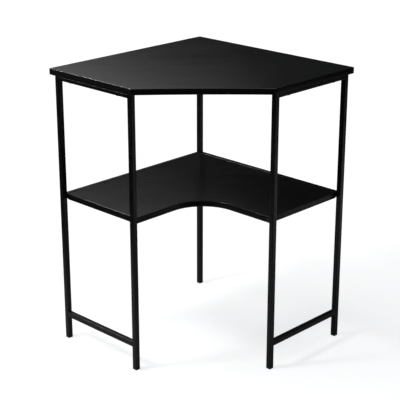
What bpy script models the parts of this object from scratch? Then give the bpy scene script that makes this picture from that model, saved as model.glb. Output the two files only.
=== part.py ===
"""Corner desk: a five-sided top that sits in the corner of a room on five slender square-tube legs,
with an L-shaped shelf at mid height. Metres, +Z up. The two walls are the planes x = -top_side / 2
(left wall) and y = +top_side / 2 (back wall); the person sits on the diagonal, towards +X -Y.

Each wing is described by "along" (distance from the room's corner along its wall) and "across"
(distance out from that wall). The left wing runs along the left wall, the right wing along the
back wall, and the two are mirror images of each other.
"""

import math

import bmesh
import bpy
from mathutils import Matrix, Vector

# ---------------------------------------------------------------- overall sizes
desk_height = 0.750  # floor to the top of the tabletop
top_side = 0.552  # each wall edge of the tabletop
top_end = 0.307  # each square end of the tabletop, from the wall edge to the cut front
shelf_height = 0.417  # floor to the top of the shelf
stretcher_height = 0.064  # floor to the underside of the low stretchers
wall_inset = 0.023  # how far the legs stand in from the wall edges of the tabletop

# ---------------------------------------------------------------- boards
top_thickness = 0.016
shelf_thickness = 0.016
board_arris = 0.0012  # rounding of the boards' edges
board_corner = 0.003  # rounding of the tabletop's three back corners
tight_corner = 0.0015  # rounding of the cut front's corners and the shelf's outer corners
front_hollow = 0.005  # how far the middle of the tabletop's front edge curves in
shelf_setback = 0.005  # shelf front behind the front faces of the front legs
shelf_inner_radius = 0.100  # the hollow curve that joins the two wings of the shelf

# ---------------------------------------------------------------- steel frame
tube = 0.014  # outside width of the square tube
tube_wall = 0.001
tube_corner = 0.0016  # outside corner radius of the tube
top_rail_height = 0.009  # the rails under the tabletop are flat tube
plate_size = 0.046  # the plate on top of the corner leg
plate_thickness = 0.002
plate_corner = 0.003
plate_screw_edge = 0.0115  # the plate's screws, measured in from two of its edges

# ---------------------------------------------------------------- foot caps
cap_height = 0.005  # the part of a foot cap that shows
cap_plug = 0.012  # the part of a foot cap inside the tube
cap_shell = 0.0015
cap_arris = 0.0008

# ---------------------------------------------------------------- screws, bolts and pins
screw_shank = 0.004
screw_head = 0.008
screw_head_height = 0.0024
screw_bite = 0.0105  # length of screw inside the board
drive_across = 0.0025  # hexagon socket in every head
drive_depth = 0.0013
top_screw_reach = 0.040  # screws in a top rail, measured from each leg
shelf_screw_reach = 0.090  # screws in a shelf rail, measured from each end
bolt_shank = 0.004
bolt_head = 0.0075
bolt_bite = 0.0135  # length of bolt inside the threaded plug
bolt_clearance = 0.0008  # between the two frame bolts, which cross inside the corner leg
plug_length = 0.018  # threaded plug in the inner end of each shelf rail
pin_across = 0.005  # the pins that carry the shelf's front corners
pin_chamfer = 0.0008
pin_in_leg = 0.007
pin_in_shelf = 0.014

# ---------------------------------------------------------------- gaps and smoothness
joint = 0.0003  # gap left where two pieces touch
fit_gap = 0.0003  # clearance round a shank or a plug
overrun = 0.001  # how far a cutter runs past the face that it cuts
round_steps = 20  # sides of a turned piece
corner_step = math.radians(22.5)  # turn between the points of a small rounded corner
curve_step = math.radians(7.5)  # and of the shelf's large inner curve
large_radius = 0.020
hollow_steps = 16  # straight lengths along the tabletop's hollow front edge
sharp_angle = math.radians(50)  # an edge that turns further than this stays crisp
merge_distance = 0.00001

# ---------------------------------------------------------------- levels worked out from those
half = top_side / 2
top_under = desk_height - top_thickness
frame_top = top_under - joint
shelf_under = shelf_height - shelf_thickness
shelf_rail_bottom = shelf_height - tube
shelf_rail_middle = shelf_height - tube / 2
inner_face = wall_inset + tube  # the face of the wall legs that looks into the room
bore_corner = tube_corner - tube_wall  # inside corner radius of the tube

LEFT, RIGHT = "left", "right"
UP = Vector((0.0, 0.0, 1.0))


# ---------------------------------------------------------------- scene
for old in list(bpy.data.objects):
    bpy.data.objects.remove(old, do_unlink=True)

desk_collection = bpy.data.collections.new("corner_desk")
cutter_collection = bpy.data.collections.new("corner_desk_cutters")
bpy.context.scene.collection.children.link(desk_collection)
bpy.context.scene.collection.children.link(cutter_collection)


def make_material(name, colour, roughness, metallic):
    material = bpy.data.materials.new(name)
    material.use_nodes = True
    shader = material.node_tree.nodes["Principled BSDF"]
    shader.inputs["Base Color"].default_value = (*colour, 1.0)
    shader.inputs["Roughness"].default_value = roughness
    shader.inputs["Metallic"].default_value = metallic
    material.diffuse_color = (*colour, 1.0)
    return material


black_board = make_material("black_board", (0.022, 0.022, 0.023), 0.30, 0.0)
black_paint = make_material("black_powder_coat", (0.014, 0.014, 0.015), 0.38, 0.0)
black_plastic = make_material("black_plastic", (0.010, 0.010, 0.010), 0.55, 0.0)
black_steel = make_material("blackened_steel", (0.060, 0.060, 0.062), 0.42, 1.0)


# ---------------------------------------------------------------- places
def wing_point(side, along, across, z=0.0):
    """A point of one wing in world coordinates."""
    if side == LEFT:
        return Vector((across - half, half - along, z))
    return Vector((along - half, half - across, z))


def wing_direction(side, along, across):
    """A horizontal direction of one wing in world coordinates."""
    return wing_point(side, along, across) - wing_point(side, 0.0, 0.0)


def wing_axis(side, runs):
    """The world axis, as a number, of something that runs "up", "along" its wing or "across" it."""
    if runs == "up":
        return 2
    return 1 if (side == LEFT) == (runs == "along") else 0


def wing_bounds(side, along, across, z):
    """The lower and upper corner of a box given as (from, to) pairs in wing coordinates."""
    first = wing_point(side, along[0], across[0], z[0])
    second = wing_point(side, along[1], across[1], z[1])
    low = Vector([min(a, b) for a, b in zip(first, second)])
    high = Vector([max(a, b) for a, b in zip(first, second)])
    return low, high


# ---------------------------------------------------------------- ways of making a piece
def add_piece(name, mesh, material, location=(0.0, 0.0, 0.0)):
    """A piece of the desk with this mesh, or a cutter where no material is given."""
    mesh.shade_smooth()
    mesh.set_sharp_from_angle(angle=sharp_angle)
    obj = bpy.data.objects.new(name, mesh)
    obj.location = location
    if material is None:
        cutter_collection.objects.link(obj)
        obj.hide_render = True
        obj.display_type = "WIRE"
    else:
        mesh.materials.append(material)
        desk_collection.objects.link(obj)
    return obj


def boolean(target, other, operation="DIFFERENCE"):
    modifier = target.modifiers.new(other.name, "BOOLEAN")
    modifier.operation = operation
    modifier.solver = "EXACT"
    modifier.object = other


def round_edges(obj, width):
    """Rounds the crisp edges of a piece, whatever its shape."""
    bevel = obj.modifiers.new("arris", "BEVEL")
    bevel.width = width
    bevel.segments = 2
    bevel.limit_method = "ANGLE"
    bevel.angle_limit = sharp_angle


def add_bar(name, low, high, material, radius=0.0, axis=2, segments=3):
    """A box between two corners, its edges along one axis rounded."""
    low, high = Vector(low), Vector(high)
    bm = bmesh.new()
    bmesh.ops.create_cube(bm, size=1.0)
    bmesh.ops.scale(bm, vec=high - low, verts=bm.verts)
    if radius > 0.0:
        long_edges = [
            edge
            for edge in bm.edges
            if abs((edge.verts[0].co - edge.verts[1].co).normalized()[axis]) > 0.5
        ]
        bmesh.ops.bevel(
            bm, geom=long_edges, offset=radius, segments=segments, profile=0.5, affect="EDGES"
        )
    mesh = bpy.data.meshes.new(name)
    bm.to_mesh(mesh)
    bm.free()
    return add_piece(name, mesh, material, (low + high) / 2)


def add_turned(name, profile, material, location, direction, steps=round_steps):
    """A turned piece: a half outline of (radius, height) points, from the top down, screwed once
    round its axis, which is then pointed along direction."""
    mesh = bpy.data.meshes.new(name)
    points = [(radius, 0.0, height) for radius, height in profile]
    mesh.from_pydata(points, [(i, i + 1) for i in range(len(points) - 1)], [])
    obj = add_piece(name, mesh, material, location)
    obj.rotation_euler = UP.rotation_difference(Vector(direction)).to_euler()
    turn = obj.modifiers.new("turn", "SCREW")
    turn.axis = "Z"
    turn.angle = math.tau
    turn.steps = steps
    turn.render_steps = steps
    turn.use_merge_vertices = True
    turn.merge_threshold = merge_distance
    return obj


def add_drill(name, diameter, start, end, steps=round_steps):
    """A round cutter between two points."""
    start, end = Vector(start), Vector(end)
    radius = diameter / 2
    length = (end - start).length
    profile = [(0.0, length), (radius, length), (radius, 0.0), (0.0, 0.0)]
    return add_turned(name, profile, None, start, (end - start).normalized(), steps)


def add_tube(name, side, along, across, z, runs):
    """A square or flat steel tube with rounded corners and open ends."""
    low, high = wing_bounds(side, along, across, z)
    axis = wing_axis(side, runs)
    obj = add_bar(name, low, high, black_paint, tube_corner, axis)
    inset = Vector((tube_wall, tube_wall, tube_wall))
    inset[axis] = -overrun
    bore = add_bar(name + "_bore", low + inset, high - inset, None, bore_corner, axis, segments=2)
    boolean(obj, bore)
    return obj


def rounded_outline(corners):
    """Outline points from (x, y, radius) corners, each corner turned into an arc of that radius."""
    points = []
    for index, (x, y, radius) in enumerate(corners):
        here = Vector((x, y))
        if radius == 0.0:
            points.append(here)
            continue
        before = (Vector(corners[index - 1][:2]) - here).normalized()
        after = (Vector(corners[(index + 1) % len(corners)][:2]) - here).normalized()
        opening = before.angle(after)
        reach = radius / math.tan(opening / 2)
        centre = here + (before + after).normalized() * (radius / math.sin(opening / 2))
        first = here + before * reach - centre
        last = here + after * reach - centre
        sweep = math.atan2(first.cross(last), first.dot(last))
        steps = math.ceil(abs(sweep) / (curve_step if radius > large_radius else corner_step))
        for step in range(steps + 1):
            points.append(centre + Matrix.Rotation(sweep * step / steps, 2) @ first)
    return points


def add_board(name, corners, bottom, thickness):
    """A flat board: its outline, in wing coordinates, is a filled curve with thickness."""
    outline = [wing_point(LEFT, point.x, point.y) for point in rounded_outline(corners)]
    curve = bpy.data.curves.new(name + "_outline", "CURVE")
    curve.dimensions = "2D"
    curve.fill_mode = "BOTH"
    curve.extrude = thickness / 2
    spline = curve.splines.new("POLY")
    spline.points.add(len(outline) - 1)
    for point, place in zip(spline.points, outline):
        point.co = (place.x, place.y, 0.0, 1.0)
    spline.use_cyclic_u = True
    guide = bpy.data.objects.new(name + "_outline", curve)
    guide.location.z = bottom + thickness / 2
    desk_collection.objects.link(guide)

    # A board is drilled, so the curve becomes a mesh with its two faces welded to its edge.
    graph = bpy.context.evaluated_depsgraph_get()
    mesh = bpy.data.meshes.new_from_object(guide.evaluated_get(graph))
    mesh.name = name
    bm = bmesh.new()
    bm.from_mesh(mesh)
    bmesh.ops.remove_doubles(bm, verts=bm.verts, dist=merge_distance)
    bmesh.ops.dissolve_limit(
        bm, angle_limit=math.radians(0.1), verts=bm.verts, edges=bm.edges
    )
    bmesh.ops.recalc_face_normals(bm, faces=bm.faces)
    bm.to_mesh(mesh)
    bm.free()
    obj = add_piece(name, mesh, black_board)
    obj.matrix_world = guide.matrix_world
    bpy.data.objects.remove(guide, do_unlink=True)
    round_edges(obj, board_arris)
    return obj


# ---------------------------------------------------------------- screws and their holes
def button_head(head, shank, length):
    """Half outline of a button-headed screw, from its tip down. The head lies below zero."""
    radius = head / 2
    crown = radius * 0.45  # radius of the flat on the head
    shoulder = radius * 0.80
    tip = shank * 0.15
    return [
        (0.0, length),
        (tip, length),
        (shank / 2, length - shank * 0.6),
        (shank / 2, 0.0),
        (radius, 0.0),
        (radius, -screw_head_height * 0.2),
        (shoulder, -screw_head_height * 0.7),
        (crown, -screw_head_height),
        (0.0, -screw_head_height),
    ]


def add_screw(name, seat, direction, length, drilled, shank=screw_shank, head=screw_head):
    """A screw whose head bears on the point seat and whose shank runs along direction, and the
    clearance hole that it leaves in each drilled piece."""
    obj = add_turned(name, button_head(head, shank, length), black_steel, seat, direction)
    face = seat - direction * screw_head_height
    socket = add_drill(
        name + "_socket",
        2 * drive_across / math.sqrt(3),
        face - direction * overrun,
        face + direction * drive_depth,
        steps=6,
    )
    boolean(obj, socket)
    hole = add_drill(
        name + "_hole",
        shank + 2 * fit_gap,
        seat - direction * overrun,
        seat + direction * (length + fit_gap),
    )
    for piece in drilled:
        boolean(piece, hole)


# ---------------------------------------------------------------- tabletop
def hollow_front(start, end, depth):
    """Points between the two front corners on a shallow arc that curves in by depth."""
    chord = (end - start).length
    radius = (chord**2 / 4 + depth**2) / (2 * depth)
    outward = Vector((1.0, 1.0)).normalized()
    centre = (start + end) / 2 + outward * (radius - depth)
    reach = math.asin(chord / 2 / radius)
    points = []
    for step in range(1, hollow_steps):
        turn = Matrix.Rotation(reach * (1 - 2 * step / hollow_steps), 2)
        points.append(centre - turn @ outward * radius)
    return points


front_start, front_end = Vector((top_side, top_end)), Vector((top_end, top_side))
top_corners = [
    (0.0, 0.0, board_corner),
    (top_side, 0.0, board_corner),
    (*front_start, tight_corner),
    *[(*point, 0.0) for point in hollow_front(front_start, front_end, front_hollow)],
    (*front_end, tight_corner),
    (0.0, top_side, board_corner),
]
tabletop = add_board("tabletop", top_corners, top_under, top_thickness)


# ---------------------------------------------------------------- corner shelf
shelf_back = inner_face + joint
shelf_end = top_side - tube - joint
shelf_front = top_end - shelf_setback
shelf_corners = [
    (shelf_back, shelf_back, tight_corner),
    (shelf_end, shelf_back, tight_corner),
    (shelf_end, shelf_front, tight_corner),
    (shelf_front, shelf_front, shelf_inner_radius),
    (shelf_front, shelf_end, tight_corner),
    (shelf_back, shelf_end, tight_corner),
]
shelf = add_board("corner_shelf", shelf_corners, shelf_under, shelf_thickness)


# ---------------------------------------------------------------- legs and their foot caps
def add_foot_cap(name, side, along, across):
    """A plastic cap under a leg: a square pad, and a hollow plug that goes up inside the tube."""
    low, high = wing_bounds(side, along, across, (0.0, cap_height))
    cap = add_bar(name, low, high, black_plastic, tube_corner)
    round_edges(cap, cap_arris)
    plug_top = cap_height + joint + cap_plug
    margin = Vector((1.0, 1.0, 0.0)) * (tube_wall + fit_gap)
    plug_low = Vector((low.x, low.y, cap_height / 2)) + margin
    plug_high = Vector((high.x, high.y, plug_top)) - margin
    plug = add_bar(name + "_plug", plug_low, plug_high, None, bore_corner, segments=2)
    boolean(cap, plug, "UNION")
    shell = margin + Vector((1.0, 1.0, 0.0)) * cap_shell
    hollow_low = Vector((low.x, low.y, cap_height)) + shell
    hollow_high = Vector((high.x, high.y, plug_top + overrun)) - shell
    hollow = add_bar(name + "_hollow", hollow_low, hollow_high, None)
    boolean(cap, hollow)


def add_leg(name, side, along, across, top):
    add_foot_cap(name + "_foot_cap", side, along, across)
    return add_tube(name, side, along, across, (cap_height + joint, top), "up")


end_of_wing = (top_side - tube, top_side)
at_wall = (wall_inset, inner_face)
at_front = (top_end - tube, top_end)

front_legs = {}
for side in (LEFT, RIGHT):
    add_leg(side + "_wall_leg", side, end_of_wing, at_wall, frame_top)
    front_legs[side] = add_leg(side + "_front_leg", side, end_of_wing, at_front, frame_top)

plate_under = frame_top - plate_thickness
corner_leg = add_leg("corner_leg", LEFT, at_wall, at_wall, plate_under - joint)


# ---------------------------------------------------------------- rails of the two end frames
between_legs = (at_wall[1] + joint, at_front[0] - joint)
rail_under = frame_top - top_rail_height

for side in (LEFT, RIGHT):
    rail_levels = (rail_under, frame_top)
    rail = add_tube(side + "_top_rail", side, end_of_wing, between_legs, rail_levels, "across")
    low_levels = (stretcher_height, stretcher_height + tube)
    add_tube(side + "_stretcher", side, end_of_wing, between_legs, low_levels, "across")
    places = (between_legs[0] + top_screw_reach, between_legs[1] - top_screw_reach)
    for number, across in enumerate(places, start=1):
        seat = wing_point(side, top_side - tube / 2, across, rail_under - joint)
        length = top_rail_height + 2 * joint + screw_bite
        add_screw(f"{side}_top_screw_{number}", seat, UP, length, [rail, tabletop])


# ---------------------------------------------------------------- plate on the corner leg
plate_span = (wall_inset, wall_inset + plate_size)
plate_low, plate_high = wing_bounds(LEFT, plate_span, plate_span, (plate_under, frame_top))
corner_plate = add_bar("corner_leg_plate", plate_low, plate_high, black_paint, plate_corner)
near_edge, far_edge = plate_span[0] + plate_screw_edge, plate_span[1] - plate_screw_edge
for number, spot in enumerate(((far_edge, near_edge), (near_edge, far_edge)), start=1):
    seat = wing_point(LEFT, *spot, plate_under - joint)
    length = plate_thickness + 2 * joint + screw_bite
    add_screw(f"corner_plate_screw_{number}", seat, UP, length, [corner_plate, tabletop])


# ---------------------------------------------------------------- shelf rails along the walls
rail_span = (inner_face + joint, top_side - tube - joint)
bolt_stagger = {LEFT: (bolt_shank + bolt_clearance) / 2}
bolt_stagger[RIGHT] = -bolt_stagger[LEFT]

for side in (LEFT, RIGHT):
    rail_levels = (shelf_rail_bottom, shelf_height)
    rail = add_tube(side + "_shelf_rail", side, rail_span, at_wall, rail_levels, "along")

    # Screws through the rail into the back edge of the shelf.
    into_room = wing_direction(side, 0.0, 1.0)
    length = tube + 2 * joint + screw_bite
    places = (rail_span[0] + shelf_screw_reach, rail_span[1] - shelf_screw_reach)
    for number, along in enumerate(places, start=1):
        seat = wing_point(side, along, wall_inset - joint, shelf_rail_middle)
        add_screw(f"{side}_shelf_screw_{number}", seat, into_room, length, [rail, shelf])

    # A threaded plug in the rail's inner end takes the bolt that comes through the corner leg.
    margin = tube_wall + fit_gap
    plug_low, plug_high = wing_bounds(
        side,
        (rail_span[0], rail_span[0] + plug_length),
        (at_wall[0] + margin, at_wall[1] - margin),
        (shelf_rail_bottom + margin, shelf_height - margin),
    )
    axis = wing_axis(side, "along")
    plug = add_bar(side + "_rail_plug", plug_low, plug_high, black_steel, bore_corner, axis, 2)
    level = shelf_rail_middle + bolt_stagger[side]
    seat = wing_point(side, wall_inset - joint, wall_inset + tube / 2, level)
    add_screw(
        side + "_frame_bolt",
        seat,
        wing_direction(side, 1.0, 0.0),
        tube + 2 * joint + bolt_bite,
        [corner_leg, plug],
        bolt_shank,
        bolt_head,
    )


# ---------------------------------------------------------------- pins at the shelf's front corners
for side in (LEFT, RIGHT):
    name = side + "_shelf_pin"
    inward = wing_direction(side, -1.0, 0.0)
    across = (at_front[0] + at_front[1]) / 2
    start_along = top_side - tube + tube_wall + pin_in_leg
    start = wing_point(side, start_along, across, shelf_height - shelf_thickness / 2)
    length = pin_in_leg + tube_wall + 2 * joint + pin_in_shelf
    pin_radius = pin_across / 2
    profile = [
        (0.0, length),
        (pin_radius - pin_chamfer, length),
        (pin_radius, length - pin_chamfer),
        (pin_radius, 0.0),
        (0.0, 0.0),
    ]
    add_turned(name, profile, black_steel, start, inward)
    hole_end = start + inward * (length + fit_gap)
    hole = add_drill(name + "_hole", pin_across + 2 * fit_gap, start, hole_end)
    boolean(shelf, hole)
    boolean(front_legs[side], hole)
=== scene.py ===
# %% [markdown]
# # A black corner desk
# The desk is a bought-in kind of object: two boards faced with black wood-grain laminate on a frame of
# thin square steel tube. Its sizes and places are already fixed by the CAD frame that is loaded here, so
# this script only makes the surfaces that a hand and an eye would meet: the banded edges, the rounded
# tube, the welds, the feet, the screw heads and the finishes. Everything is in metres, +Z up.

import math

import bmesh
import bpy
from mathutils import Matrix, Vector


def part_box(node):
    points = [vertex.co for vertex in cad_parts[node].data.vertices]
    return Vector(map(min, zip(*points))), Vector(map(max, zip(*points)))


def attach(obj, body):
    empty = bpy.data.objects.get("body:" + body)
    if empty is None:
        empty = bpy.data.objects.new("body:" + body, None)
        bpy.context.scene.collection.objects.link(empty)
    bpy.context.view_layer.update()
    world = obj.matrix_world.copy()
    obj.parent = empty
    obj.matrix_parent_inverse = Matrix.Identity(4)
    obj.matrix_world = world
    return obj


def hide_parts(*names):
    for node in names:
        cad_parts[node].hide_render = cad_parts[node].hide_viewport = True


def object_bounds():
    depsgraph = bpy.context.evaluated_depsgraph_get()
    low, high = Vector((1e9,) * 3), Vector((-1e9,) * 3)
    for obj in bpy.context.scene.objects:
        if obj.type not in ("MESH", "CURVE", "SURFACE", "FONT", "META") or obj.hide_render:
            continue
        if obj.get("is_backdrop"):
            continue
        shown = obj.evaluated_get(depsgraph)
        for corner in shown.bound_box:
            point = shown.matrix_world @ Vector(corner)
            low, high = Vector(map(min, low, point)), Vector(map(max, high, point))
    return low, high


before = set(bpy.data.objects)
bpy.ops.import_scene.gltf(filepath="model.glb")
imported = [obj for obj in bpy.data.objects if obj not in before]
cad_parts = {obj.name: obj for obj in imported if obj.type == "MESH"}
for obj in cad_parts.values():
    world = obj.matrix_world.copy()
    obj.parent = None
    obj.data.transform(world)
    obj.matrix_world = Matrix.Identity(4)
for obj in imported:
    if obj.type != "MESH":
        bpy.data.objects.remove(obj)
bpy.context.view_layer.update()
print("nodes in the frame:", len(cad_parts))

# %% [markdown]
# The places of all the pieces come from the boxes of the CAD nodes. The two walls of the room are the
# planes of the tabletop's straight back edges. "Along" is the distance from the room's corner along a
# wall and "across" is the distance out from it, and the two wings of the desk mirror each other, so one
# description in along and across serves both.

# %% Read the desk's main sizes
top_low, top_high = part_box("tabletop")
shelf_low, shelf_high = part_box("corner_shelf")
leg_low, leg_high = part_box("left_wall_leg")
front_low, front_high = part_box("left_front_leg")

half = top_high.x
top_side = top_high.x - top_low.x
top_end = front_high.x + half
tube = leg_high.x - leg_low.x
wall_inset = leg_low.x + half
foot_height = leg_low.z
shelf_back = shelf_low.x + half
shelf_end = half - shelf_low.y
shelf_setback = 0.005
shelf_front = top_end - shelf_setback
LEFT, RIGHT = "left", "right"
legs = ("corner_leg", "left_wall_leg", "left_front_leg", "right_wall_leg", "right_front_leg")


def wing_point(side, along, across, z=0.0):
    if side == LEFT:
        return Vector((across - half, half - along, z))
    return Vector((along - half, half - across, z))


def wing_direction(side, along, across, z=0.0):
    return wing_point(side, along, across, z) - wing_point(side, 0.0, 0.0)


print(f"wall edge {top_side:.3f}, square end {top_end:.3f}, tube {tube:.4f}, leg inset {wall_inset:.4f}")

# %% [markdown]
# Every new piece rides on the desk's one rigid body, and most of them stand for a CAD node. A piece is
# built as a bmesh in its final place, so no object needs a transform of its own. Smooth shading with
# sharp edges above a set angle keeps flats flat and rounds round.

# %% Turn a bmesh into a piece of the desk
smooth_limit = math.radians(32)


def add_piece(name, bm, material, slot, *nodes):
    bmesh.ops.recalc_face_normals(bm, faces=bm.faces)
    mesh = bpy.data.meshes.new(name)
    bm.to_mesh(mesh)
    bm.free()
    mesh.materials.append(material)
    mesh.shade_smooth()
    mesh.set_sharp_from_angle(angle=smooth_limit)
    piece = bpy.data.objects.new(name, mesh)
    bpy.context.scene.collection.objects.link(piece)
    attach(piece, "root")
    if nodes:
        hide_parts(*nodes)
    return piece


# %% [markdown]
# ## Finishes
# All the finishes are built from nodes. A small helper adds a node and sets its plain inputs, which keeps
# each material readable. Object coordinates are used throughout: the pieces sit untransformed in the
# desk's own frame, so one metre in the pattern is one metre on the desk.

# %% Helpers for material nodes
def new_material(name):
    material = bpy.data.materials.new(name)
    material.use_nodes = True
    nodes = material.node_tree.nodes
    shader = nodes["Principled BSDF"]
    place = nodes.new("ShaderNodeTexCoord").outputs["Object"]
    return material, shader, place


def add_node(material, kind, settings=None, **inputs):
    node = material.node_tree.nodes.new(kind)
    for key, value in (settings or {}).items():
        setattr(node, key, value)
    for key, value in inputs.items():
        socket = node.inputs[int(key[1:]) if key[0] == "_" else key.replace("_", " ")]
        if isinstance(value, bpy.types.NodeSocket):
            material.node_tree.links.new(value, socket)
        else:
            socket.default_value = value
    return node


def stretched(material, place, turn, scale):
    """The place, turned about Z and only then scaled, for a pattern that runs in one direction."""
    turned = add_node(
        material, "ShaderNodeVectorRotate", {"rotation_type": "Z_AXIS"}, Vector=place, Angle=turn
    )
    scaled = add_node(
        material, "ShaderNodeVectorMath", {"operation": "MULTIPLY"}, _0=turned.outputs["Vector"], _1=scale
    )
    return scaled.outputs["Vector"]


def noise(material, place, scale, detail, roughness=0.55):
    node = add_node(
        material, "ShaderNodeTexNoise", Vector=place, Scale=scale, Detail=detail, Roughness=roughness
    )
    return node.outputs["Fac"]


def remap(material, value, low, high, to_low, to_high):
    node = add_node(material, "ShaderNodeMapRange", Value=value)
    for socket, number in zip(("From Min", "From Max", "To Min", "To Max"), (low, high, to_low, to_high)):
        node.inputs[socket].default_value = number
    return node.outputs["Result"]


def combine(material, operation, first, second):
    node = add_node(material, "ShaderNodeMath", {"operation": operation}, _0=first, _1=second)
    return node.outputs["Value"]


def tint(material, factor, dark, light):
    ramp = add_node(material, "ShaderNodeValToRGB", Fac=factor)
    ramp.color_ramp.elements[0].color = (*dark, 1.0)
    ramp.color_ramp.elements[1].color = (*light, 1.0)
    return ramp.outputs["Color"]


def connect(material, value, shader, socket):
    material.node_tree.links.new(value, shader.inputs[socket])


def bump(material, shader, height, strength, distance):
    node = add_node(material, "ShaderNodeBump", Height=height, Strength=strength, Distance=distance)
    connect(material, node.outputs["Normal"], shader, "Normal")


# %% [markdown]
# The boards' faces are printed black paper under a melamine film, pressed against a plate that leaves
# shallow wood pores. The grain runs parallel to the cut front edge, which lies at 45 degrees to the
# walls. Real pores are long and very thin, so the pattern is noise squeezed across the grain: a fine one
# for the pores, a broader one for the slow change of gloss, and a large soft one for handling marks.

# %% The laminate faces
grain_turn = math.radians(-45)
pore_squeeze, pore_scale = 26.0, 70.0
broad_squeeze, broad_scale = 14.0, 4.5
hand_scale = 4.0
darkest_print, lightest_print = (0.0024, 0.0025, 0.0024), (0.0060, 0.0062, 0.0060)
cleaned, handled = -0.01, 0.02
pore_strength, pore_depth = 0.07, 0.0002


def make_laminate(name, turn, squeeze, smoothest, roughest, shine):
    """Wood-grain film, as rough as given; squeeze turns a number into a scale for each axis."""
    material, shader, place = new_material(name)
    pores = noise(material, stretched(material, place, turn, squeeze(pore_squeeze)), pore_scale, 5.0, 0.60)
    broad = noise(material, stretched(material, place, turn, squeeze(broad_squeeze)), broad_scale, 5.0)
    hands = noise(material, place, hand_scale, 2.0)
    half_pores = combine(material, "MULTIPLY", pores, 0.5)
    streak = combine(material, "ADD", half_pores, combine(material, "MULTIPLY", broad, 0.5))
    connect(material, tint(material, streak, darkest_print, lightest_print), shader, "Base Color")
    film = remap(material, streak, 0.36, 0.64, smoothest, roughest)
    marks = remap(material, hands, 0.35, 0.65, cleaned, handled)
    connect(material, combine(material, "ADD", film, marks), shader, "Roughness")
    relief = remap(material, pores, 0.30, 0.70, 0.0, 1.0)
    bump(material, shader, relief, pore_strength, pore_depth)
    shader.inputs["Specular IOR Level"].default_value = shine
    return material


def across_grain(amount):
    return (1.0, amount, 1.0)


laminate = make_laminate("black_laminate", grain_turn, across_grain, 0.19, 0.26, 0.5)

# %% [markdown]
# The edges are closed with a thin plastic band whose print runs along the edge. Squeezing the same noise
# in height gives that on every upright face, whichever way the edge turns. The band is dull, but its
# arrises have been milled round and buffed, so they shine.

# %% The edge band
def in_height(amount):
    return (1.0, 1.0, amount)


edge_band = make_laminate("black_edge_band", 0.0, in_height, 0.27, 0.35, 0.22)
buffed_arris = make_laminate("buffed_arris", 0.0, in_height, 0.20, 0.28, 0.8)

# %% [markdown]
# The frame is powder coated. Powder melts into a skin with a faint orange peel about a millimetre across,
# and it is a little thicker and glossier in some places than in others. Two scales of noise make the
# peel, and a slow one changes the gloss. Near the floor the coat is slightly scuffed.

# %% The powder coat
peel_scale, pinch_scale, pinch_share = 650.0, 2400.0, 0.25
cloud_scale, cloud_share = 22.0, 0.6
speck_scale = 190.0
scuff_height, scuff_dullness = 0.08, 0.15
clean_coat, worn_coat = (0.0005, 0.0005, 0.0006), (0.0022, 0.0022, 0.0021)
peel_strength, peel_depth = 0.12, 0.0002
coat_shine = 0.42


def make_powder_coat():
    material, shader, place = new_material("black_powder_coat")
    peel = noise(material, place, peel_scale, 2.0)
    pinch = noise(material, place, pinch_scale, 1.0)
    cloud = noise(material, place, cloud_scale, 3.0)
    specks = noise(material, place, speck_scale, 5.0, 0.7)
    height = add_node(material, "ShaderNodeSeparateXYZ", Vector=place).outputs["Z"]
    near_floor = remap(material, height, 0.0, scuff_height, 1.0, 0.0)
    scuff = combine(material, "MULTIPLY", near_floor, remap(material, specks, 0.52, 0.72, 0.0, 1.0))

    shade = combine(material, "ADD", combine(material, "MULTIPLY", cloud, cloud_share), scuff)
    connect(material, tint(material, shade, clean_coat, worn_coat), shader, "Base Color")
    film = remap(material, cloud, 0.3, 0.7, 0.30, 0.40)
    gloss = combine(material, "ADD", film, combine(material, "MULTIPLY", scuff, scuff_dullness))
    connect(material, gloss, shader, "Roughness")
    skin = combine(material, "ADD", peel, combine(material, "MULTIPLY", pinch, pinch_share))
    bump(material, shader, skin, peel_strength, peel_depth)
    shader.inputs["Specular IOR Level"].default_value = coat_shine
    return material


powder_coat = make_powder_coat()

# %% [markdown]
# The feet are moulded in black plastic with a spark-eroded texture, duller than the paint. The fixings
# are steel with a black oxide finish: dark, slightly brown, with fine marks from turning.

# %% The plastic and the blackened steel
grit_scale, grit_strength = 1700.0, 0.25
mark_scale, mark_stretch, mark_strength = 320.0, 14.0, 0.08
fine_depth = 0.0001
plastic_dark, plastic_light = (0.0020, 0.0020, 0.0020), (0.0060, 0.0060, 0.0058)
oxide_dark, oxide_light = (0.030, 0.029, 0.028), (0.085, 0.082, 0.080)


def make_plastic():
    material, shader, place = new_material("black_plastic")
    grit = noise(material, place, grit_scale, 3.0, 0.7)
    cloud = noise(material, place, 60.0, 3.0)
    connect(material, tint(material, cloud, plastic_dark, plastic_light), shader, "Base Color")
    connect(material, remap(material, grit, 0.3, 0.7, 0.46, 0.62), shader, "Roughness")
    bump(material, shader, grit, grit_strength, fine_depth)
    return material


def make_steel():
    material, shader, place = new_material("blackened_steel")
    lines = noise(material, stretched(material, place, 0.0, in_height(mark_stretch)), mark_scale, 4.0, 0.6)
    cloud = noise(material, place, 140.0, 3.0)
    connect(material, tint(material, cloud, oxide_dark, oxide_light), shader, "Base Color")
    connect(material, remap(material, lines, 0.3, 0.7, 0.30, 0.46), shader, "Roughness")
    bump(material, shader, lines, mark_strength, fine_depth)
    shader.inputs["Metallic"].default_value = 1.0
    return material


plastic = make_plastic()
steel = make_steel()
finishes = (laminate, edge_band, buffed_arris, powder_coat, plastic, steel)
print("materials:", [material.name for material in finishes])

# %% [markdown]
# ## Boards
# A board is a panel with a band glued round it. Both follow one outline, so the outline is made once, as
# a ring of points with arcs at its corners, and moved inwards where a surface lies deeper. Rings at
# different depths and heights are then joined like the hoops of a barrel. That gives the rounded arris,
# the hairline where band meets laminate, and clean faces, with no Boolean.

# %% Outlines and rings
small_turn = math.radians(11.25)
large_turn = math.radians(3.0)
large_radius = 0.02
least_turn = 0.3


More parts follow.
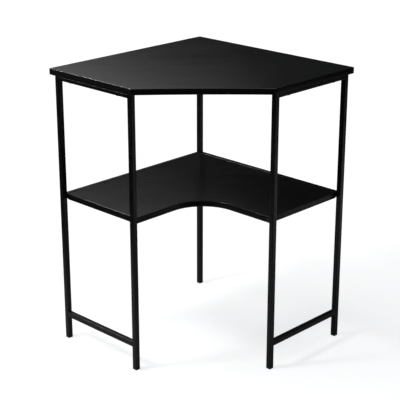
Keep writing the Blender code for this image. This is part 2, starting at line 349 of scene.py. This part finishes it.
def rounded_outline(corners):
    """Points round a shape given as (along, across, radius) corners."""
    points = []
    for index, (x, y, radius) in enumerate(corners):
        here = Vector((x, y))
        if radius == 0.0:
            points.append(here)
            continue
        before = (Vector(corners[index - 1][:2]) - here).normalized()
        after = (Vector(corners[(index + 1) % len(corners)][:2]) - here).normalized()
        opening = before.angle(after)
        centre = here + (before + after).normalized() * (radius / math.sin(opening / 2))
        first = here + before * (radius / math.tan(opening / 2)) - centre
        last = here + after * (radius / math.tan(opening / 2)) - centre
        sweep = math.atan2(first.cross(last), first.dot(last))
        steps = math.ceil(abs(sweep) / (large_turn if radius > large_radius else small_turn))
        points += [centre + Matrix.Rotation(sweep * i / steps, 2) @ first for i in range(steps + 1)]
    return points


def inset_outline(points, depth):
    """The outline moved inwards by depth; the points run anticlockwise."""
    moved = []
    for index, here in enumerate(points):
        before = (here - points[index - 1]).normalized()
        after = (points[(index + 1) % len(points)] - here).normalized()
        left = Vector((-before.y, before.x)) + Vector((-after.y, after.x))
        moved.append(here + left.normalized() * (depth / max(least_turn, left.length / 2)))
    return moved


def join_loops(bm, here, there):
    """A strip of faces between two loops that have equally many points."""
    for i in range(len(here)):
        j = (i + 1) % len(here)
        bm.faces.new((here[i], here[j], there[j], there[i]))


def ring_surface(bm, outline, profile, closed):
    """Joins rings of the outline at each (depth, height) of the profile. An open profile is capped."""
    rings = []
    for depth, z in profile:
        ring = [wing_point(LEFT, p.x, p.y, z) for p in inset_outline(outline, depth)]
        rings.append([bm.verts.new(point) for point in ring])
    pairs = list(zip(rings, rings[1:] + rings[:1])) if closed else list(zip(rings, rings[1:]))
    for lower, upper in pairs:
        join_loops(bm, lower, upper)
    if not closed:
        bm.faces.new(rings[0])
        bm.faces.new(rings[-1])


# %% [markdown]
# The band is 0.9 mm thick with arrises rounded to about 1 mm, and it meets the laminate at a V-shaped
# hairline, where scraping the glue line takes off a tenth of a millimetre.

# %% Make a banded board
band_thickness = 0.0009
arris = 0.0010
arris_lean = 0.85
hairline = 0.00012
arris_steps = 5
buffed_slope = 0.2


def add_board(name, corners, bottom, top):
    outline = rounded_outline(corners)
    bm = bmesh.new()
    panel = [
        (band_thickness + hairline, bottom),
        (band_thickness, bottom + hairline),
        (band_thickness, top - hairline),
        (band_thickness + hairline, top),
    ]
    ring_surface(bm, outline, panel, closed=False)
    add_piece(name + "_panel", bm, laminate, "black_board", name)

    bm = bmesh.new()
    turns = [math.pi / 2 * i / arris_steps for i in range(arris_steps + 1)]
    lower = [(arris * (1 - math.sin(a)) * arris_lean, bottom + arris * (1 - math.cos(a))) for a in turns]
    upper = [(depth, top - (z - bottom)) for depth, z in reversed(lower)]
    inner = [(band_thickness, top - hairline), (band_thickness, bottom + hairline)]
    ring_surface(bm, outline, lower + upper + inner, closed=True)
    band = add_piece(name + "_edge_band", bm, edge_band, "black_board", name).data
    band.materials.append(buffed_arris)
    for face in band.polygons:
        face.material_index = int(abs(face.normal.z) > buffed_slope)
    print(name, "outline points:", len(outline))


# %% [markdown]
# The tabletop is a square with one corner cut off. The cut front edge isn't quite straight: it curves in
# by 5 mm at its middle, which is an arc of a very large circle through the two front corners.

# %% The tabletop
front_hollow = 0.005
hollow_steps = 32
board_corner = 0.003
tight_corner = 0.0015


def hollow_front(start, end):
    chord = (end - start).length
    radius = (chord**2 / 4 + front_hollow**2) / (2 * front_hollow)
    outward = Vector((1.0, 1.0)).normalized()
    centre = (start + end) / 2 + outward * (radius - front_hollow)
    reach = math.asin(chord / 2 / radius)
    turns = [reach * (1 - 2 * i / hollow_steps) for i in range(1, hollow_steps)]
    return [centre - Matrix.Rotation(turn, 2) @ outward * radius for turn in turns]


front_start, front_end = Vector((top_side, top_end)), Vector((top_end, top_side))
top_corners = [
    (0.0, 0.0, board_corner),
    (top_side, 0.0, board_corner),
    (*front_start, tight_corner),
    *[(*point, 0.0) for point in hollow_front(front_start, front_end)],
    (*front_end, tight_corner),
    (0.0, top_side, board_corner),
]
add_board("tabletop", top_corners, top_low.z, top_high.z)

# %% [markdown]
# The shelf is an L. Its two straight fronts are joined by a hollow curve of 100 mm radius that leaves
# room for the knees. It lies between the legs, with its back edges against the two shelf rails.

# %% The shelf
shelf_inner_radius = 0.100
shelf_corners = [
    (shelf_back, shelf_back, tight_corner),
    (shelf_end, shelf_back, tight_corner),
    (shelf_end, shelf_front, tight_corner),
    (shelf_front, shelf_front, shelf_inner_radius),
    (shelf_front, shelf_end, tight_corner),
    (shelf_back, shelf_end, tight_corner),
]
add_board("corner_shelf", shelf_corners, shelf_low.z, shelf_high.z)

# %% [markdown]
# ## Steel frame
# The frame is cold-rolled square tube with a 1 mm wall, whose corners are rounded by the rolling. A tube
# is drawn as two rounded rectangles, outside and bore, swept along its length, so its open ends show the
# wall as they would before a cap goes in.

# %% Make a length of tube
tube_wall = 0.001
tube_corner = 0.0016
flat_corner = 0.0006
corner_steps = 6


def rounded_rectangle(width, height, radius):
    points = []
    for quarter, (sx, sy) in enumerate(((1, 1), (-1, 1), (-1, -1), (1, -1))):
        for i in range(corner_steps + 1):
            a = math.pi / 2 * (quarter + i / corner_steps)
            x = sx * (width / 2 - radius) + radius * math.cos(a)
            y = sy * (height / 2 - radius) + radius * math.sin(a)
            points.append((x, y))
    return points


def sweep_tube(bm, low, high, axis, corner):
    """Adds a tube that fills the box from low to high and runs along the axis 0, 1 or 2."""
    centre = (low + high) / 2
    size = high - low
    first, second = [i for i in range(3) if i != axis]
    bore_corner = corner / 3
    shapes = (
        rounded_rectangle(size[first], size[second], corner),
        rounded_rectangle(size[first] - 2 * tube_wall, size[second] - 2 * tube_wall, bore_corner),
    )
    loops = []
    for shape, end in ((0, -0.5), (0, 0.5), (1, 0.5), (1, -0.5)):
        loop = []
        for x, y in shapes[shape]:
            point = centre.copy()
            point[first] += x
            point[second] += y
            point[axis] += end * size[axis]
            loop.append(bm.verts.new(point))
        loops.append(loop)
    for here, there in zip(loops, loops[1:] + loops[:1]):
        join_loops(bm, here, there)


def add_tube(node, axis, grow=0.0, corner=tube_corner):
    low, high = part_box(node)
    low[axis] -= grow
    high[axis] += grow
    bm = bmesh.new()
    sweep_tube(bm, low, high, axis, corner)
    add_piece(node + "_tube", bm, powder_coat, "black_powder_coat", node)


# %% [markdown]
# The five legs stand upright. The rails and stretchers run between them, and the CAD leaves a hair's
# breadth at each end that welding closes, so here they reach the faces of the legs.

# %% Legs, rails and stretchers
weld_gap = 0.0003
for leg in legs:
    add_tube(leg, axis=2)
for side in (LEFT, RIGHT):
    add_tube(side + "_top_rail", axis=0 if side == LEFT else 1, grow=weld_gap, corner=flat_corner)
    add_tube(side + "_stretcher", axis=0 if side == LEFT else 1, grow=weld_gap)
    add_tube(side + "_shelf_rail", axis=1 if side == LEFT else 0, grow=weld_gap)

# %% [markdown]
# ## Welds
# Where two tubes meet, the sides are flush and ground smooth, and a small fillet weld stays above and
# below the joint. A bead is a quarter round along the corner whose size pulses with each drop of metal.
# It is swept by hand because its ripple is a rule, not a profile.

# %% Make a weld bead
bead_size = 0.0013
bead_pitch = 0.0009
bead_round = 6
bead_root = 0.0003
ripple_base, ripple_swell, ripple_steps = 0.88, 0.12, 4
end_size, end_growth = 0.55, 0.15


def add_bead(bm, start, end, wall, floor):
    """A bead from start to end in the corner between a wall and a floor, given by their normals."""
    length = (end - start).length
    steps = max(2 * ripple_steps, round(length / bead_pitch) * ripple_steps)
    sections = []
    for i in range(steps + 1):
        ripple = ripple_base + ripple_swell * abs(math.sin(math.pi * i / ripple_steps))
        taper = min(1.0, end_size + min(i, steps - i) * end_growth)
        size = bead_size * ripple * taper
        spot = start + (end - start) * (i / steps)
        loop = [spot - (wall + floor) * bead_root]
        for k in range(bead_round + 1):
            a = math.pi / 2 * k / bead_round
            loop.append(spot + wall * size * math.cos(a) + floor * size * math.sin(a))
        sections.append([bm.verts.new(point) for point in loop])
    for here, there in zip(sections, sections[1:]):
        join_loops(bm, here, there)
    bm.faces.new(sections[0])
    bm.faces.new(sections[-1])


# %% [markdown]
# Each end frame has a bead above and below the stretcher at both legs, and one below the top rail. The
# shelf rails are welded to the wall legs in the same way, and bolted at the corner leg.

# %% Weld the frame
up = Vector((0.0, 0.0, 1.0))
bead_inset = tube_corner


def weld_seams(bm, side, runs_across, face, span, levels):
    """Beads at one tube end: the seam crosses the tube at each level, above (+1) or below (-1) it."""
    for level, facing in levels:
        if runs_across:
            start = wing_point(side, span[0] + bead_inset, face[0], level)
            end = wing_point(side, span[1] - bead_inset, face[0], level)
            wall = wing_direction(side, 0.0, face[1])
        else:
            start = wing_point(side, face[0], span[0] + bead_inset, level)
            end = wing_point(side, face[0], span[1] - bead_inset, level)
            wall = wing_direction(side, face[1], 0.0)
        add_bead(bm, start, end, wall, up * facing)


def levels_of(node, above=True):
    low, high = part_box(node)
    return [(low.z, -1.0)] + ([(high.z, 1.0)] if above else [])


for side in (LEFT, RIGHT):
    bm = bmesh.new()
    end_span = (top_side - tube, top_side)
    wall_span = (wall_inset, wall_inset + tube)
    for face in ((wall_inset + tube, 1.0), (top_end - tube, -1.0)):
        weld_seams(bm, side, True, face, end_span, levels_of(side + "_stretcher"))
        weld_seams(bm, side, True, face, end_span, levels_of(side + "_top_rail", above=False))
    at_leg = (top_side - tube, -1.0)
    weld_seams(bm, side, False, at_leg, wall_span, levels_of(side + "_shelf_rail"))
    add_piece(side + "_frame_welds", bm, powder_coat, "black_powder_coat")
    print(side, "frame welded")

# %% [markdown]
# ## Feet
# A foot is a moulded cap: a square pad as wide as the tube, with a softened rim and, underneath, four
# pockets that keep the plastic from sinking as it cools. The pad is a stack of rings like the boards, and
# the pockets are cut with a Boolean, because they have nothing to do with the outline.

# %% Make the foot caps
pad_arris = 0.0007
pad_steps = 4
pocket_gap = 0.0012
pocket_depth = 0.0016
pocket_rim = 0.0018


def pad_mesh(low, high):
    bm = bmesh.new()
    centre = (low + high) / 2
    rings = []
    turns = [math.pi / 2 * i / pad_steps for i in range(pad_steps + 1)]
    profile = [(pad_arris * (1 - math.sin(a)), pad_arris * (1 - math.cos(a))) for a in turns]
    stack = [(depth, low.z + z) for depth, z in profile]
    stack += [(depth / 2, high.z - z / 2) for depth, z in reversed(profile)]
    for depth, z in stack:
        shape = rounded_rectangle(high.x - low.x - 2 * depth, high.y - low.y - 2 * depth, tube_corner)
        rings.append([bm.verts.new((centre.x + x, centre.y + y, z)) for x, y in shape])
    for here, there in zip(rings, rings[1:]):
        join_loops(bm, here, there)
    bm.faces.new(rings[0])
    bm.faces.new(rings[-1])
    return bm


def cut_with(piece, cutter):
    """Cuts one piece with another object, keeps the result as the piece's mesh and drops the cutter."""
    modifier = piece.modifiers.new("cut", "BOOLEAN")
    modifier.operation = "DIFFERENCE"
    modifier.object = cutter
    modifier.solver = "EXACT"
    graph = bpy.context.evaluated_depsgraph_get()
    mesh = bpy.data.meshes.new_from_object(piece.evaluated_get(graph))
    mesh.shade_smooth()
    mesh.set_sharp_from_angle(angle=smooth_limit)
    piece.modifiers.clear()
    piece.data = mesh
    bpy.data.objects.remove(cutter)


def loose_object(name, bm):
    mesh = bpy.data.meshes.new(name)
    bmesh.ops.recalc_face_normals(bm, faces=bm.faces)
    bm.to_mesh(mesh)
    bm.free()
    obj = bpy.data.objects.new(name, mesh)
    bpy.context.scene.collection.objects.link(obj)
    return obj


for leg in legs:
    node = leg + "_foot_cap"
    low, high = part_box(node)
    high.z = foot_height - weld_gap
    cap = add_piece(leg + "_foot", pad_mesh(low, high), plastic, "black_plastic", node)
    pockets = bmesh.new()
    pocket = (tube - 2 * pocket_rim - pocket_gap) / 2
    for sx in (-1, 1):
        for sy in (-1, 1):
            made = bmesh.ops.create_cube(pockets, size=1.0)["verts"]
            bmesh.ops.scale(pockets, vec=(pocket, pocket, 2 * pocket_depth), verts=made)
            offset = (pocket + pocket_gap) / 2
            spot = ((low.x + high.x) / 2 + sx * offset, (low.y + high.y) / 2 + sy * offset, low.z)
            bmesh.ops.translate(pockets, vec=spot, verts=made)
    cut_with(cap, loose_object("pockets", pockets))
print("feet made, each", round(foot_height * 1000, 1), "mm high")

# %% [markdown]
# ## Fixings
# The screws and bolts have low button heads with a hexagon socket. Each is a turned profile spun round
# its own axis and pointed along the axis of its CAD node, whose longest side gives the length. The head
# is on the side that a hand can reach: below the tabletop, or facing the wall.

# %% Make the screws and bolts
head_height = 0.0024
shank = 0.004
thread_pitch, thread_depth = 0.0007, 0.00025
point_length, tip_radius = shank * 0.6, shank * 0.15
socket_across = 0.0025
socket_depth = 0.0013
turned_steps = 40
merge_distance = 0.000005
button = [(0.0, 1.0), (0.22, 1.0), (0.30, 0.97), (0.38, 0.86), (0.44, 0.66), (0.485, 0.40)]
button += [(0.50, 0.12), (0.50, 0.0)]


def fixing_profile(head, length):
    """(radius, height) points from the crown of the head to the tip; the head's seat is at zero."""
    crown = [(head * share, -head_height * rise) for share, rise in button]
    threads = []
    z = thread_pitch
    while z < length - point_length:
        threads += [(shank / 2, z), (shank / 2 - thread_depth, z + thread_pitch / 2)]
        z += thread_pitch
    return crown + [(shank / 2, 0.0)] + threads + [(tip_radius, length), (0.0, length)]


def add_fixing(node, axis, head_first):
    low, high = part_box(node)
    centre = (low + high) / 2
    size = high - low
    head = max(size[i] for i in range(3) if i != axis)
    length = size[axis] - head_height
    direction = Vector((0.0, 0.0, 0.0))
    direction[axis] = 1.0 if head_first == "low" else -1.0
    seat = centre.copy()
    seat[axis] = low[axis] + head_height if head_first == "low" else high[axis] - head_height
    place = Matrix.Translation(seat) @ up.rotation_difference(direction).to_matrix().to_4x4()

    bm = bmesh.new()
    verts = [bm.verts.new((radius, 0.0, z)) for radius, z in fixing_profile(head, length)]
    edges = [bm.edges.new(pair) for pair in zip(verts, verts[1:])]
    bmesh.ops.spin(bm, geom=verts + edges, cent=(0, 0, 0), axis=(0, 0, 1), angle=math.tau, steps=turned_steps)
    bmesh.ops.remove_doubles(bm, verts=bm.verts, dist=merge_distance)
    bm.transform(place)
    piece = add_piece(node + "_turned", bm, steel, "blackened_steel", node)

    key = bmesh.new()
    radius = socket_across / math.sqrt(3)
    sides = {"segments": 6, "radius1": radius, "radius2": radius}
    bmesh.ops.create_cone(key, cap_ends=True, depth=2 * socket_depth, **sides)
    bmesh.ops.translate(key, vec=(0.0, 0.0, -head_height), verts=key.verts)
    key.transform(place)
    cut_with(piece, loose_object("socket", key))
    return length


lengths = [add_fixing(f"corner_plate_screw_{n}", 2, "low") for n in (1, 2)]
for side in (LEFT, RIGHT):
    room_axis, along_axis = (0, 1) if side == LEFT else (1, 0)
    for n in (1, 2):
        lengths.append(add_fixing(f"{side}_top_screw_{n}", 2, "low"))
        lengths.append(add_fixing(f"{side}_shelf_screw_{n}", room_axis, "low" if side == LEFT else "high"))
    lengths.append(add_fixing(side + "_frame_bolt", along_axis, "high" if side == LEFT else "low"))
shortest, longest = [round(length * 1000) for length in (min(lengths), max(lengths))]
print(len(lengths), "fixings,", shortest, "to", longest, "mm under the head")

# %% [markdown]
# The plate on the corner leg, the plugs inside the shelf rails and the pins at the shelf's corners
# already have their true shape in CAD, so they only take the finish.

# %% Finish the carried-over pieces
kept = {"corner_leg_plate": powder_coat}
for side in (LEFT, RIGHT):
    kept[side + "_rail_plug"] = steel
    kept[side + "_shelf_pin"] = steel
for node, material in kept.items():
    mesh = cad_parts[node].data
    mesh.materials.clear()
    mesh.materials.append(material)
print("kept from CAD:", sorted(kept))

# %% [markdown]
# ## Studio
# The desk stands on white paper. A black object is seen by what it reflects, and a studio controls that
# apart from the background, with cards and flags. So each part of this studio is either for the camera
# only or for light and gloss only: the sweep and the backdrop are clean white, while the gloss sees a
# darker, smaller sheet of paper.

# %% Parts of the studio
stage_reach = 12.0
sight_line = math.radians(44.13)
no_stretch = (1.0, 1.0, 1.0)
paper_roughness = 0.9
cool_white = (0.985, 0.990, 1.0, 1.0)


def add_stage(name, bm, material, camera):
    mesh = bpy.data.meshes.new(name)
    bm.to_mesh(mesh)
    bm.free()
    mesh.materials.append(material)
    obj = bpy.data.objects.new(name, mesh)
    bpy.context.scene.collection.objects.link(obj)
    obj.visible_camera = camera
    obj.visible_glossy = not camera
    obj.visible_diffuse = not camera
    obj.visible_shadow = not camera
    obj.visible_transmission = not camera
    obj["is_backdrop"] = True


def sheet_of_paper(left, right, front, back, z):
    """A flat sheet whose sides are measured from under the desk, as seen along the sight line."""
    bm = bmesh.new()
    turn = Matrix.Rotation(sight_line, 2)
    corners = [Vector((x, y)) for x, y in ((-left, -front), (right, -front), (right, back), (-left, back))]
    bm.faces.new([bm.verts.new((*(turn @ corner), z)) for corner in corners])
    return bm


def matt(name, white, glow):
    """Matt paper of this whiteness, which gives off a little light of its own."""
    material, shader, place = new_material(name)
    shader.inputs["Base Color"].default_value = (white, white, white, 1.0)
    shader.inputs["Roughness"].default_value = paper_roughness
    shader.inputs["Specular IOR Level"].default_value = 0.0
    shader.inputs["Emission Color"].default_value = cool_white
    shader.inputs["Emission Strength"].default_value = glow
    return material, shader, place


# %% [markdown]
# The visible sweep keeps the desk's soft shadow near the desk. Further out it turns into clean, evenly
# bright white, and the dome behind it is the same white, so no horizon shows.

# %% Sweep and backdrop
sweep_white, sweep_glow = 0.30, 0.76
clean_from, clean_to = 0.80, 1.20
clean_white = 1.06


def clean_sweep():
    material, shader, place = matt("white_sweep", sweep_white, sweep_glow)
    radius = add_node(material, "ShaderNodeVectorMath", {"operation": "LENGTH"}, _0=place).outputs["Value"]
    share = add_node(material, "ShaderNodeMapRange", {"interpolation_type": "SMOOTHSTEP"}, Value=radius)
    share.inputs["From Min"].default_value = clean_from
    share.inputs["From Max"].default_value = clean_to
    glow = add_node(material, "ShaderNodeEmission", Strength=clean_white)
    mix = add_node(material, "ShaderNodeMixShader", Fac=share.outputs["Result"])
    links = material.node_tree.links
    links.new(shader.outputs["BSDF"], mix.inputs[1])
    links.new(glow.outputs["Emission"], mix.inputs[2])
    links.new(mix.outputs["Shader"], material.node_tree.nodes["Material Output"].inputs["Surface"])
    return material


wide = sheet_of_paper(stage_reach, stage_reach, stage_reach, stage_reach, 0.0)
add_stage("floor", wide, clean_sweep(), camera=True)
dome = bmesh.new()
bmesh.ops.create_uvsphere(dome, u_segments=48, v_segments=24, radius=stage_reach)
add_stage("backdrop", dome, matt("backdrop", 0.0, clean_white)[0], camera=True)
print("clean white from", clean_to, "m out")

# %% [markdown]
# The upright faces of the tubes mirror the floor, at about three times their height away. The sheet that
# they see is darker under the desk and to the left, where the lights are, and lighter to the right. It
# ends just before the spot that the tabletop's edges mirror, so those edges stay black. A second sheet
# behind the walls does the same for the back of the desk.

# %% The papers that the gloss sees
paper_level = -0.0005
paper_from, paper_to = 0.6, 1.7
dark_paper, light_paper = 0.27, 0.80
back_white = 0.28


def grey_paper():
    material, shader, place = matt("floor_paper", 0.0, 0.0)
    turned = stretched(material, place, -sight_line, no_stretch)
    rightward = add_node(material, "ShaderNodeSeparateXYZ", Vector=turned).outputs["X"]
    shade = remap(material, rightward, paper_from, paper_to, dark_paper, light_paper)
    connect(material, shade, shader, "Base Color")
    return material


paper = sheet_of_paper(left=0.90, right=2.4, front=0.75, back=0.45, z=paper_level)
add_stage("floor_paper", paper, grey_paper(), camera=False)
back_paper = sheet_of_paper(left=2.4, right=2.4, front=-0.65, back=2.8, z=paper_level)
add_stage("back_paper", back_paper, matt("back_paper", back_white, 0.0)[0], camera=False)

# %% [markdown]
# A tall card behind the left wall draws the sheen on the boards. Its light falls off along the card and
# towards the floor, which makes the sheen fade evenly from the left end of each board to the right.

# %% The sheen card
card_x = -1.9
card_span, card_levels = (-0.6, 2.4), (0.9, 2.1)
card_slope = 2.1
card_bright, card_dark = -1.92, -1.10
card_power = 2.4
card_white = 0.80


def lit_card():
    material, shader, place = matt("sheen_card", 0.0, 0.0)
    split = add_node(material, "ShaderNodeSeparateXYZ", Vector=place)
    slope = combine(material, "MULTIPLY", split.outputs["Z"], card_slope)
    spot = combine(material, "SUBTRACT", split.outputs["Y"], slope)
    fade = remap(material, spot, card_bright, card_dark, 1.0, 0.0)
    curve = combine(material, "POWER", fade, card_power)
    glow = combine(material, "MULTIPLY", curve, card_white)
    connect(material, glow, shader, "Emission Strength")
    return material


(near, far), (low, high) = card_span, card_levels
card = bmesh.new()
corners = [(card_x, near, low), (card_x, far, low), (card_x, far, high), (card_x, near, high)]
card.faces.new([card.verts.new(corner) for corner in corners])
add_stage("sheen_card", card, lit_card(), camera=False)

# %% [markdown]
# Four soft boxes light the desk. The key stands in front, to the left, and throws a shadow away from it
# from every foot; the kicker, further left, throws a second one to the right. The edge light, between
# them and higher, lights the arrises, and a wide box overhead fills the shadows.

# %% Lights
desk_middle = Vector((0.0, 0.0, 0.40))


def add_softbox(name, place, width, height, radiance):
    """An area light of this size that faces the desk, whose face has this radiance."""
    light = bpy.data.lights.new(name, "AREA")
    light.shape = "RECTANGLE"
    light.size, light.size_y = width, height
    light.energy = radiance * math.pi * width * height
    box = bpy.data.objects.new(name, light)
    bpy.context.scene.collection.objects.link(box)
    box.location = place
    box.rotation_euler = (desk_middle - Vector(place)).to_track_quat("-Z", "Y").to_euler()
    box.visible_camera = False


add_softbox("key", (-0.93, -1.91, 2.52), 0.45, 0.45, 88.0)
add_softbox("kicker", (-2.28, -0.54, 2.60), 0.45, 0.45, 60.0)
add_softbox("edge", (-1.75, -1.35, 2.75), 1.3, 1.2, 6.5)
add_softbox("overhead", (0.30, 0.10, 3.30), 3.2, 3.2, 1.4)

# %% [markdown]
# The room itself is nearly dark behind the desk and faintly lit in front of it and to its sides, above
# the height of the floor. That shows the tops of the boards from behind as well.

# %% The room
room_dark, room_white = 0.015, 0.20
room_tint = (0.9, 0.95, 1.0, 1.0)
behind, ahead = 0.5, -0.6
level, raised = 0.0, 0.25
world = bpy.data.worlds.new("room")
bpy.context.scene.world = world
world.use_nodes = True
room = world.node_tree.nodes["Background"]
room.inputs["Color"].default_value = room_tint
sky = add_node(world, "ShaderNodeTexCoord").outputs["Generated"]
turned = stretched(world, sky, -sight_line, no_stretch)
direction = add_node(world, "ShaderNodeSeparateXYZ", Vector=turned)
in_front = remap(world, direction.outputs["Y"], behind, ahead, 0.0, 1.0)
above_floor = remap(world, direction.outputs["Z"], level, raised, 0.0, 1.0)
share = combine(world, "MULTIPLY", in_front, above_floor)
glow = combine(world, "MULTIPLY", share, room_white)
world.node_tree.links.new(combine(world, "ADD", glow, room_dark), room.inputs["Strength"])
bpy.context.scene.view_settings.view_transform = "Standard"

# %% [markdown]
# The camera stands in front of the cut edge, a little to the right of the diagonal, above the tabletop
# and about 3 m away. The long lens keeps the uprights nearly parallel without any shift.

# %% Camera
camera_place = Vector((2.0340, -2.1039, 1.4401))
camera_tilt = math.radians(19.72)
camera_sensor, camera_lens = 36.0, 105.35

camera = bpy.data.cameras.new("camera")
camera.sensor_width, camera.lens = camera_sensor, camera_lens
eye = bpy.data.objects.new("camera", camera)
bpy.context.scene.collection.objects.link(eye)
eye.location = camera_place
eye.rotation_euler = (math.pi / 2 - camera_tilt, 0.0, sight_line)
bpy.context.scene.camera = eye

# %% [markdown]
# Last, the box of the finished model is printed; the looks may not change the desk's size.

# %% Sizes and finish
low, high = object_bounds()
print("visual box:", [round(v, 4) for v in (*low, *high)])
